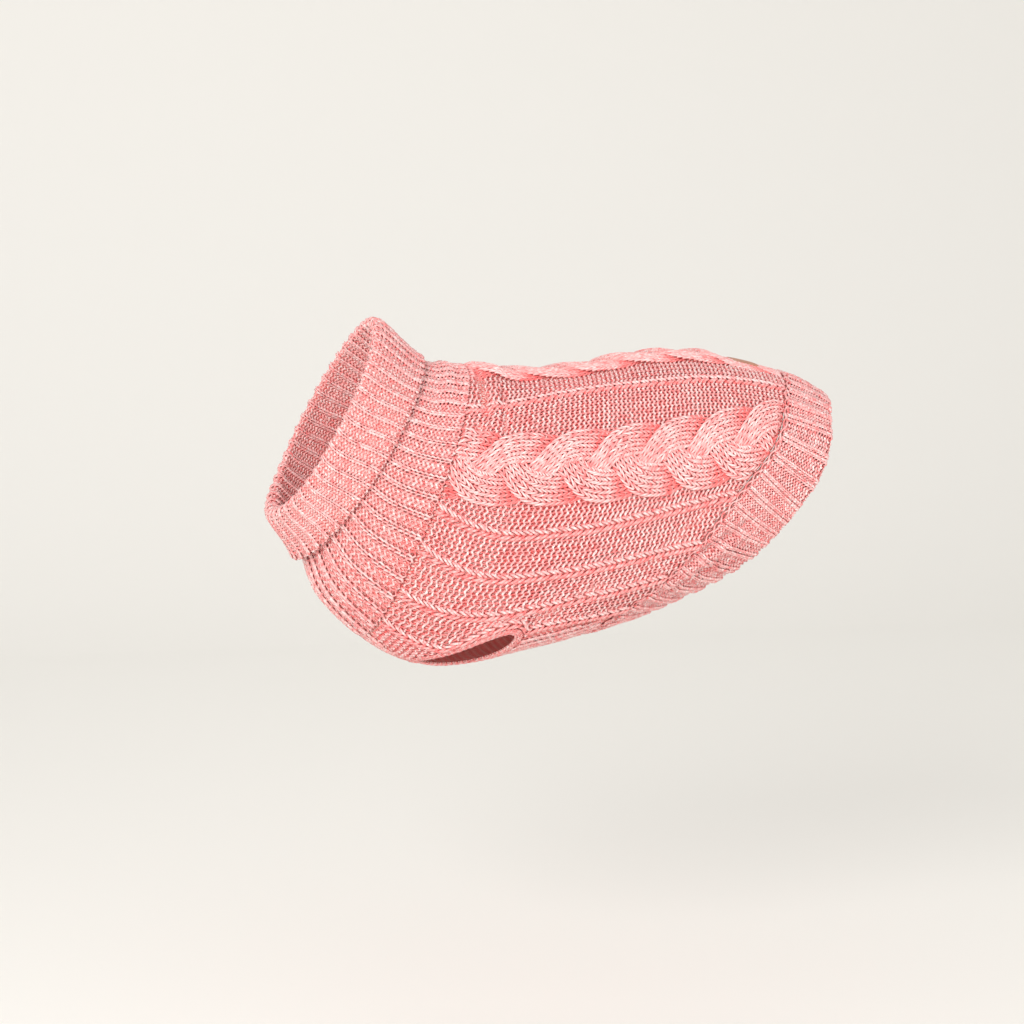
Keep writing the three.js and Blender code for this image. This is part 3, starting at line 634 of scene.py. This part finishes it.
ground = {"rows": 74, "pitch": 3.07, "wale": 4.8, "radius": 0.86, "lift": 1.55, "lean": 1.3, "wall": 0.55,
          "loop": {"neck": 0.20, "reach": -0.70, "depth": 0.6}}
chevron = {"half": 3.8, "pitch": 6.14, "pair": 2.5, "leg": 4.9, "depth": 1.0, "radius": 0.86, "lift": 2.35}
sidePlait = {"swing": 14, "steep": 1.3, "strandHalf": 10.6, "wales": 4, "height": 1.9, "over": 1.5, "crown": 1.0,
             "period": 97.5, "crestAt": 184, "narrow": 0.62, "pitch": 2.6, "leg": 1.15, "depth": 0.7,
             "uneven": 0.12, "paintedLightOver": 0.35, "shade": 0.7, "radius": 0.70}
spinePlait = dict(sidePlait, height=1.6, over=1.2, crown=0.9, crestAt=157)
labelStart = 262.5


def toHem(along, around):
    return hemAlong(np.abs(np.clip(np.abs(around), 0, 1))) - along


# Stripes of purl ground between two columns. One that is cropped ends at the plait or at the panel's edge.
ribClear = 2.6  # from a rib's middle to the first purl wale
stripes = [
    {"from": "spine", "start": 22, "to": "upperRib", "end": -ribClear, "wales": 4},
    {"from": "upperRib", "start": ribClear, "wales": 8, "crop": "plait"},
    {"from": "ribA", "start": -ribClear, "wales": -5, "crop": "plait"},
    {"from": "ribA", "start": ribClear, "to": "ribB", "end": -ribClear, "wales": 5},
    {"from": "ribB", "start": ribClear, "to": "ribC", "end": -ribClear, "wales": 4},
    {"from": "ribC", "start": ribClear, "to": "ribD", "end": -ribClear, "wales": 3},
    {"from": "ribD", "start": ribClear, "wales": 6, "crop": "edge"},
]


def middleOf(name, along):
    return np.zeros_like(along) if name == "spine" else column(name, along)


def knitStripe(skein, stripe, side):
    count = abs(stripe["wales"])
    knit, ridge = -np.ones(count), np.zeros(count)

    def aroundAt(along, wale):
        girth = girthAt(along)
        first = middleOf(stripe["from"], along) + stripe["start"] / girth
        if "to" in stripe:
            last = middleOf(stripe["to"], along) + stripe["end"] / girth
        else:
            last = first + stripe["wales"] * ground["wale"] / girth
        return first + (last - first) * wale / count

    # the rows are drawn towards the neck above a rib and towards the tail below it
    def leanBy(wale):
        above = np.exp(-(count - wale) / 0.8) if "to" in stripe else 0
        below = 0 if stripe["from"] == "spine" or stripe["wales"] < 0 else np.exp(-wale / 0.8)
        if stripe["wales"] < 0:
            above = np.exp(-wale / 0.8)
        return ground["lean"] * (below - above)

    def where(row, wale, out):
        along = yokeEnd + 1.5 + row * ground["pitch"]
        around = side * aroundAt(along, wale)
        along = np.maximum(along + leanBy(wale), yokeEnd + 0.5)
        return place(along, around, ground["lift"] + out + foldLift(along, around))

    def keep(row, wale):
        along = yokeEnd + 1.5 + row * ground["pitch"]
        around = aroundAt(along, wale)
        kept = (toHem(along, around) > 0.5) & (along > yokeEnd + 0.2)
        if stripe.get("crop") == "plait":
            kept &= np.abs(around - column("plait", along)) * girthAt(along) > 18
            kept &= (around - column("plait", along)) * np.sign(stripe["wales"]) < 0
        if stripe.get("crop") == "edge":
            kept &= around < upperEdge(along) - 1.0 / girthAt(along)
        return kept
    knitRows(skein, range(ground["rows"]), count, knit, ridge, ground["loop"], where, keep=keep)


# One leg of a V stitch for a stitch 1 long and 1 to each side of its middle: across, onward and out.
# The legs spread at the neck's side and meet at the tail's.
legShape = np.array([[0.80, -0.62, -0.7], [0.74, -0.30, 0.15], [0.52, 0.15, 0.5],
                     [0.24, 0.60, 0.3], [0.10, 0.92, -0.8]])
# painted shade along a leg, heaviest at its ends, which tuck under
legDip = np.array([1.0, 0.5, 0.22, 0.42, 1.0])


# A column of V stitches down one chevron rib, two to a group, with more painted shade on the lower legs, which
# makes them redder.
def knitChevron(skein, name, side):
    along = np.arange(yokeEnd + 2.5, 300, chevron["pitch"])
    along = along[toHem(along, middleOf(name, along)) > 3.5]
    for hand in (-1, 1):
        for second in (0, 1):
            shape = legShape * [hand * chevron["half"], chevron["leg"] / 1.54, chevron["depth"]]
            start = along[:, None] + second * chevron["pair"] + dice.normal(0, 0.15, (len(along), 1))
            at = start + shape[None, :, 1]
            aside = shape[None, :, 0] * (1 + dice.normal(0, 0.06, (len(along), 1)))
            around = middleOf(name, at) + aside / girthAt(at)
            points = place(at, side * around, chevron["lift"] + shape[None, :, 2] + foldLift(at, around))
            run = dice.uniform(0, 900) + at * 2.2 + hand * 3
            dip = np.clip(legDip + (0.32 if hand > 0 else -0.15), 0, 1)
            skein.addAll(points, run, np.full(len(along), dice.uniform()), dip[None, :])


# Where a strand of a plait runs and how far it stands out, from 1 over the others to -1 under them.
def plaitStrand(plait, strand, along):
    turn = 2 * pi * ((along - plait["crestAt"]) / plait["period"] + strand / 3) + pi / 2
    across = plait["swing"] * np.tanh(plait["steep"] * np.sin(turn)) / math.tanh(plait["steep"])
    return across, np.sin(2 * turn)


def fadeBefore(end, along):
    return 0.2 + 0.8 * smoothStep(end - along, 0, 14)


# Three strands of V stitches that pass over and under each other about a middle line.
def knitPlait(skein, plait, middle, side, fadeAt=None):
    fine = np.arange(yokeEnd - 8, 315, 0.5)
    rows = np.arange(yokeEnd, 305, plait["pitch"])
    half = plait["strandHalf"] / plait["wales"]
    for strand in range(3):
        path, height = plaitStrand(plait, strand, fine)
        slope = np.gradient(path, fine)
        rowRun, rowTone = dice.uniform(0, 900, len(rows)), dice.uniform(0, 1, len(rows))
        for leg in range(2 * plait["wales"]):
            hand = -1 if leg % 2 == 0 else 1
            offset = (2 * (leg // 2) + 1 - plait["wales"]) * half
            shape = legShape * [hand * half, plait["pitch"] * plait["leg"], plait["depth"]]
            at = rows[:, None] + shape[None, :, 1] + dice.normal(0, plait["uneven"], (len(rows), 1))
            lean, high = np.arctan(np.interp(at, fine, slope)), np.interp(at, fine, height)
            narrow = np.cos(lean) ** plait["narrow"]
            aside = (offset + shape[None, :, 0] + dice.normal(0, plait["uneven"], (len(rows), 1))) * narrow
            along = at - aside * np.sin(lean)
            offLine = np.interp(at, fine, path) + aside * np.cos(lean)
            crown = plait["crown"] * (1 - np.clip(aside / narrow / plait["strandHalf"], -1, 1) ** 2)
            stand = plait["height"] + plait["over"] * high + crown
            centre = 0 if middle == "spine" else side * column(middle, along)
            around = centre - (1 if middle == "spine" else side) * offLine / girthAt(along)
            ease = smoothStep(along, yokeEnd - 2, yokeEnd + 8) * smoothStep(toHem(along, around), -1, 7)
            if fadeAt is not None:
                ease = ease * fadeBefore(fadeAt, along)
            lift = ground["lift"] + stand * ease + shape[None, :, 2] + foldLift(along, around)
            points = place(along, around, lift)
            # painted shade on a strand where it passes under another, painted light (less shade) where it passes
            # over
            over, under = np.clip(high, 0, 1), np.clip(-high, 0, 1)
            dip = np.clip(legDip[None, :] * (1 - plait["paintedLightOver"] * over) + plait["shade"] * under, 0, 1)
            kept = (along.min(1) > yokeEnd) & (toHem(along, around).min(1) > 0.8)
            run = rowRun[:, None] + leg * 6.5 + shape[None, :, 1]
            skein.addAll(points[kept], run[kept], rowTone[kept], dip[kept])


# The wall under a plait fills its strands from behind.
def plaitBack(plait, along, across):
    height = np.zeros_like(along)
    for strand in range(3):
        middle, over = plaitStrand(plait, strand, along)
        offset = np.clip((across - middle) / plait["strandHalf"], -1, 1)
        stand = (plait["height"] + plait["over"] * over + plait["crown"]) * np.sqrt(1 - offset**2)
        height = np.maximum(height, stand)
    return height * 0.72


def backRelief(along, around):
    girth, size = girthAt(along), np.abs(around)
    relief = plaitBack(sidePlait, along, (column("plait", along) - size) * girth)
    spine = plaitBack(spinePlait, along, -around * girth) * fadeBefore(labelStart - 3, along)
    relief = np.maximum(relief, spine)
    for name in ribNames:
        off = (column(name, along) - size) * girth / chevron["half"]
        relief = np.maximum(relief, 0.9 * np.clip(1 - off**2, 0, 1) ** 2)
    return relief * smoothStep(along, yokeEnd, yokeEnd + 7) * smoothStep(toHem(along, around), 0, 7)


# Where lines that change their share as they go meet the hem.
def reachHem(aroundAt):
    along = np.full_like(aroundAt(np.array(250.0)), 250.0)
    for _ in range(40):
        along = (along + hemAlong(np.clip(np.abs(aroundAt(along)), 0, 1))) / 2
    return along


def makeBackPanel():
    pieces = []
    for side, label in ((1, "Left"), (-1, "Right")):
        skein = Skein()
        for stripe in stripes:
            knitStripe(skein, stripe, side)
        pieces.append(spinYarn("groundYarn" + label, skein, ground["radius"], 3))
        skein = Skein()
        knitPlait(skein, sidePlait, "plait", side)
        pieces.append(spinYarn("plaitYarn" + label, skein, sidePlait["radius"], 4))
        skein = Skein()
        for name in ribNames:
            knitChevron(skein, name, side)
        pieces.append(spinYarn("chevronYarn" + label, skein, chevron["radius"], 4))
    skein = Skein()
    knitPlait(skein, spinePlait, "spine", 1, fadeAt=labelStart - 3)
    pieces.append(spinYarn("spineYarn", skein, spinePlait["radius"], 4))
    bend = 0.62 * pi / 2  # draws the wall's columns together towards its edges
    shares = np.sin(np.linspace(-bend, bend, 181)) / math.sin(bend)
    ends = reachHem(lambda along: shares * upperEdge(along)) - 0.3
    s = np.linspace(0, 1, 86)[:, None]
    along = yokeEnd + 0.3 + s * (ends[None, :] - yokeEnd - 0.3)
    around = shares[None, :] * (upperEdge(along) - 0.15 / girthAt(along))
    girth = girthAt(along)
    knitUv = np.stack([around * girth / ground["wale"], along / ground["pitch"]], -1)
    outer = place(along, around, ground["wall"] + foldLift(along, around) + backRelief(along, around))
    return shellMesh("backWall", outer, place(along, around, wallInner), knitUv, False), pieces


# Belly panel

belly = {"wales": 42, "rows": 36, "wale": 3.9, "halfGirth": 290, "pitch": 3.07, "radius": 0.88, "lift": 1.45,
         "wall": 1.1, "knit": [1, -1], "ridge": [0.55, -0.1], "loop": {"neck": 0.24, "reach": -0.76, "depth": 0.5}}


def makeBellyPanel():
    skein = Skein()
    wales, knit, ridge = ribWales(belly, belly["wales"] // 2)
    width = belly["wale"] / belly["halfGirth"]

    def aroundOf(wale):
        return 1 - wales / 2 * width + wale * width

    def where(row, wale, out):
        along, around = yokeEnd + 1.5 + row * belly["pitch"], aroundOf(wale)
        return place(along, around, belly["lift"] + out + foldLift(along, around))

    def keep(row, wale):
        along = yokeEnd + 1.5 + row * belly["pitch"]
        size = 1 - np.abs(aroundOf(wale) - 1)
        inside = size > lowerEdge(along) + 1.0 / girthAt(along)
        return inside & (toHem(along, size) > 1.6) & (along > yokeEnd + 0.2)
    knitRows(skein, range(belly["rows"]), wales, knit, ridge, belly["loop"], where, keep=keep, perStitch=6)
    yarn = spinYarn("bellyYarn", skein, belly["radius"], 3)
    t = np.linspace(0, 2, 81)[None, :]

    def aroundAt(along):
        edge = lowerEdge(along) + 0.15 / girthAt(along)
        return edge + (1 - edge) * t
    ends = reachHem(lambda along: 1 - np.abs(aroundAt(along) - 1)) - 0.3
    along = yokeEnd + 0.3 + np.linspace(0, 1, 44)[:, None] * (ends - yokeEnd - 0.3)
    around = aroundAt(along)
    knitUv = np.stack([around / width, along / belly["pitch"]], -1)
    outer = place(along, around, belly["wall"] + foldLift(along, around))
    return shellMesh("bellyWall", outer, place(along, around, wallInner), knitUv, False), yarn


# Hem band

hem = {"ribs": 46, "rows": 16, "radius": 0.86, "eyelets": 76, "lift": 1.5, "wall": 0.8, "flare": 1.2,
       "firstRow": 0.095, "pickUpAt": 0.036, "knit": [1, -1, 1, -1, -1, -1],
       "ridge": [1.3, -0.4, 1.3, -0.1, -0.35, -0.1], "width": [0.8, 0.5, 0.8, 1.1, 1.1, 1.1],
       "loop": {"neck": 0.22, "reach": -0.76, "depth": 0.42}}


# Evenly spaced places on the pick-up line and the way out from it, over the whole turn.
def hemLine():
    around = np.linspace(-1, 1, 1441)
    along = hemAlong(np.abs(around))
    points = place(along, around, 0)
    length = np.concatenate([[0], np.cumsum(np.linalg.norm(np.diff(points, axis=0), axis=-1))])
    onward = (place(along + 1.5, around, 0) - place(along - 1.5, around, 0)) / 3
    sideways = (place(along, around + 0.012, 0) - place(along, around - 0.012, 0)) / 0.024
    tangent = np.gradient(points, axis=0)
    out = np.cross(place(along, around, 1) - points, tangent)
    out /= np.linalg.norm(out, axis=-1, keepdims=True)
    out *= np.sign((out * onward).sum(-1))[:, None]
    aa, ab, bb = (onward * onward).sum(-1), (onward * sideways).sum(-1), (sideways * sideways).sum(-1)
    oa, ob = (out * onward).sum(-1), (out * sideways).sum(-1)
    det = aa * bb - ab * ab
    return length / length[-1], around, along, (oa * bb - ob * ab) / det, (ob * aa - oa * ab) / det


hemTable = hemLine()


# A place on the hem band, by its share from the pick-up line to the free edge and its turn round the band.
def hemPlace(share, turn, out):
    at, around, along, stepAlong, stepAround = hemTable
    turn = np.mod(turn, 1)
    base = np.interp(turn, at, around)
    distance = 0.3 + share * (hemWidth(np.abs(base)) - 0.3)
    here = np.interp(turn, at, along) + distance * np.interp(turn, at, stepAlong)
    side = base + distance * np.interp(turn, at, stepAround)
    flare = hem["flare"] * smoothStep(share, 0.55, 1)
    return place(here, side, out + flare + foldLift(here, side))


def makeHemBand():
    skein = Skein()
    wales, knit, ridge = ribWales(hem, hem["ribs"])

    def where(row, wale, out):
        share = hem["firstRow"] + row * (1 - hem["firstRow"]) / hem["rows"]
        return hemPlace(share, ribAcross(wale, hem) / wales, hem["lift"] + out)
    knitRows(skein, range(hem["rows"]), wales, knit, ridge, hem["loop"], where, closed=True, perStitch=6)
    # the pick-up line, two strands that part round each eyelet
    turn = np.arange(hem["eyelets"] * 10) / (hem["eyelets"] * 10)
    for phase in (1, -1):
        wave = phase * np.cos(pi * hem["eyelets"] * turn)
        points = hemPlace(hem["pickUpAt"] + 0.038 * wave, turn, 2.2 - 0.5 * np.abs(wave))
        # painted shade, heavier where the strands part and sink round an eyelet
        skein.add(points, 0.25 + 0.35 * np.abs(wave), closed=True)
    yarn = spinYarn("hemYarn", skein, hem["radius"], 3)
    share, turn = crossGrid(np.linspace(0, 1, 14), np.linspace(0, 1, 185)[:-1])
    knitUv = np.stack([turn * wales, share * hem["rows"]], -1)
    outer, inner = (hemPlace(share, turn, out) for out in (hem["wall"], wallInner))
    return shellMesh("hemWall", outer, inner, knitUv, True), yarn


# Leg hole bands

# chains lists how far outside the hole each chain runs and how far it stands out
legBand = {"stitches": 56, "chains": [(0.8, 1.2), (2.5, 1.6), (4.2, 1.6)], "part": 0.55, "twist": 0.3,
           "radius": 0.72, "wall": 0.7}


# Chains of stitches round the hole, each of two strands that part and meet.
def makeLegBand(side, name):
    skein = Skein()
    stitches = legBand["stitches"]
    turn = np.arange(stitches * 6) / (stitches * 6)
    for grow, lift in legBand["chains"]:
        for phase in (1, -1):
            wave, twist = phase * np.cos(pi * stitches * turn), phase * np.sin(pi * stitches * turn)
            along, around = legPlace(2 * pi * turn, grow + legBand["part"] * wave)
            points = place(along, side * around, lift + legBand["twist"] * twist)
            # painted shade that rises and falls with the strand's twist
            skein.add(points, 0.25 + 0.5 * np.abs(twist), closed=True)
    yarn = spinYarn("legYarn" + name, skein, legBand["radius"], 3)
    share, turn = crossGrid(np.linspace(0, 1, 4), np.linspace(0, 1, 97)[:-1])
    along, around = legPlace(2 * pi * turn, legHole["band"] * (1 - share))
    knitUv = np.stack([turn * stitches, share * 3], -1)
    outer, inner = (place(along, side * around, out) for out in (legBand["wall"], wallInner))
    return shellMesh("legWall" + name, outer, inner, knitUv, True), yarn


# Label

label = {"start": labelStart, "end": 281, "halfWidth": 12, "seat": 2.3, "thickness": 1.1, "round": 0.10,
         "dark": (0.36, 0.13, 0.075, 1), "light": (0.62, 0.30, 0.19, 1)}


def makeLabel():
    s, t = crossGrid(np.linspace(-1, 1, 25), np.linspace(-1, 1, 29))
    halfLength = (label["end"] - label["start"]) / 2
    # squircle mapping rounds the corners
    x, y = s * np.sqrt(1 - label["round"] * t**6), t * np.sqrt(1 - label["round"] * s**6)
    along = (label["end"] + label["start"]) / 2 + x * halfLength
    around = y * label["halfWidth"] / girthAt(along)
    edge = np.maximum(np.abs(s), np.abs(t))
    bevel, crease = 0.35 * smoothStep(edge, 0.86, 1), 0.18 * np.exp(-((edge - 0.8) / 0.035) ** 2)
    outer = place(along, around, label["seat"] + label["thickness"] - bevel - crease)
    knitUv = np.stack([x * halfLength, y * label["halfWidth"]], -1)
    return shellMesh("leatherLabel", outer, place(along, around, label["seat"]), knitUv, False)


def labelLeather():
    material, links, shader, add, work = newMaterial("labelLeather")
    coords = add("ShaderNodeTexCoord")
    grain = add("ShaderNodeTexVoronoi", {"Scale": 1500.0})
    cloud = add("ShaderNodeTexNoise", {"Scale": 160.0})
    for texture in (grain, cloud):
        links.new(coords.outputs["Object"], texture.inputs["Vector"])
    ramp = add("ShaderNodeValToRGB")
    ramp.color_ramp.elements[0].color = label["dark"]
    ramp.color_ramp.elements[1].color = label["light"]
    links.new(cloud.outputs["Fac"], ramp.inputs["Fac"])
    links.new(ramp.outputs["Color"], shader.inputs["Base Color"])
    addBump(add, links, shader, grain.outputs["Distance"], 0.4, 0.0002)
    setInputs(shader, {"Roughness": 0.6})
    return material


# Put together

def dress(shell, yarns, nodes):
    shell.data.materials.append(backLook)
    for piece in [shell, *yarns]:
        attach(piece, "root")
    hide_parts(*nodes)


collarShell, collarYarn = makeCollar()
dress(collarShell, [collarYarn], ["collar"])
print("stage: collar")
yokeShell, yokeYarn = makeYoke()
dress(yokeShell, [yokeYarn], ["yoke"])
print("stage: yoke")
backShell, backYarns = makeBackPanel()
dress(backShell, backYarns, ["back_panel"])
print("stage: back panel")
bellyShell, bellyYarn = makeBellyPanel()
dress(bellyShell, [bellyYarn], ["belly_panel"])
print("stage: belly panel")
hemShell, hemYarn = makeHemBand()
dress(hemShell, [hemYarn], ["hem_band"])
print("stage: hem band")
for side, tag in ((1, "Left"), (-1, "Right")):
    legShell, legYarn = makeLegBand(side, tag)
    dress(legShell, [legYarn], ["armhole_band_" + tag.lower()])
print("stage: leg bands")
patch = makeLabel()
patch.data.materials.append(labelLeather())
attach(patch, "root")
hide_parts("label")
print("stage: label")


# Floor, light and camera

studio = {"floorZ": -0.42, "floorColor": (0.88, 0.87, 0.835, 1), "azimuth": -11, "elevation": 9,
          "distance": 2.2, "halfWidth": 0.3328, "aim": (37.05, -97.5), "anchor": (0, 0, 4.2)}


def makeFloor():
    profile = [(-2.6, 0.0), (1.2, 0.0)]
    for i in range(13):
        angle = i / 12 * pi / 2
        profile.append((1.2 + 0.9 * math.sin(angle), 0.9 - 0.9 * math.cos(angle)))
    profile.append((2.1, 3.2))
    points, faces = [], []
    for y, z in profile:
        points += [(-4.0, y, studio["floorZ"] + z), (4.0, y, studio["floorZ"] + z)]
    for i in range(len(profile) - 1):
        faces.append((2 * i, 2 * i + 1, 2 * i + 3, 2 * i + 2))
    mesh = bpy.data.meshes.new("floor")
    mesh.from_pydata(points, [], faces)
    mesh.polygons.foreach_set("use_smooth", [True] * len(faces))
    floor = linkMesh("floor", mesh)
    material, links, shader, add, work = newMaterial("paleFloor")
    setInputs(shader, {"Base Color": studio["floorColor"], "Roughness": 0.8, "Specular IOR Level": 0.2})
    mesh.materials.append(material)


def makeLight(name, location, aim, size, power, color):
    data = bpy.data.lights.new(name, "AREA")
    data.shape = "DISK"
    data.size = size
    data.energy = power
    data.color = color
    lamp = bpy.data.objects.new(name, data)
    lamp.location = location
    lamp.rotation_euler = (Vector(aim) - Vector(location)).to_track_quat("-Z", "Y").to_euler()
    bpy.context.scene.collection.objects.link(lamp)


def makeCamera():
    a, e = math.radians(studio["azimuth"]), math.radians(studio["elevation"])
    right = Vector((math.cos(a), math.sin(a), 0))
    forward = Vector((-math.sin(a) * math.cos(e), math.cos(a) * math.cos(e), -math.sin(e)))
    up = right.cross(forward)
    target = (Vector(studio["anchor"]) + right * studio["aim"][0] + up * studio["aim"][1]) * 0.001
    data = bpy.data.cameras.new("camera")
    data.sensor_width = 36
    data.lens = 18 * studio["distance"] / studio["halfWidth"]
    camera = bpy.data.objects.new("camera", data)
    camera.location = target - forward * studio["distance"]
    camera.rotation_euler = forward.to_track_quat("-Z", "Y").to_euler()
    bpy.context.scene.collection.objects.link(camera)
    bpy.context.scene.camera = camera


makeFloor()
makeLight("key", (-1.2, -1.7, 0.8), (0.0, 0, -0.08), 1.4, 34.5, (1.0, 0.98, 0.965))
makeLight("fill", (1.3, -1.7, 0.1), (0.05, 0, -0.08), 1.6, 13, (1.0, 0.98, 0.975))
makeLight("rim", (0.3, 1.1, 1.3), (0.05, 0, -0.05), 1.0, 3, (1.0, 1.0, 1.0))
world = bpy.data.worlds.new("studio")
world.use_nodes = True
setInputs(world.node_tree.nodes["Background"], {"Color": (1.0, 0.98, 0.96, 1), "Strength": 0.70})
bpy.context.scene.world = world
bpy.context.scene.view_settings.view_transform = "Standard"
makeCamera()
print("stage: floor, light and camera")
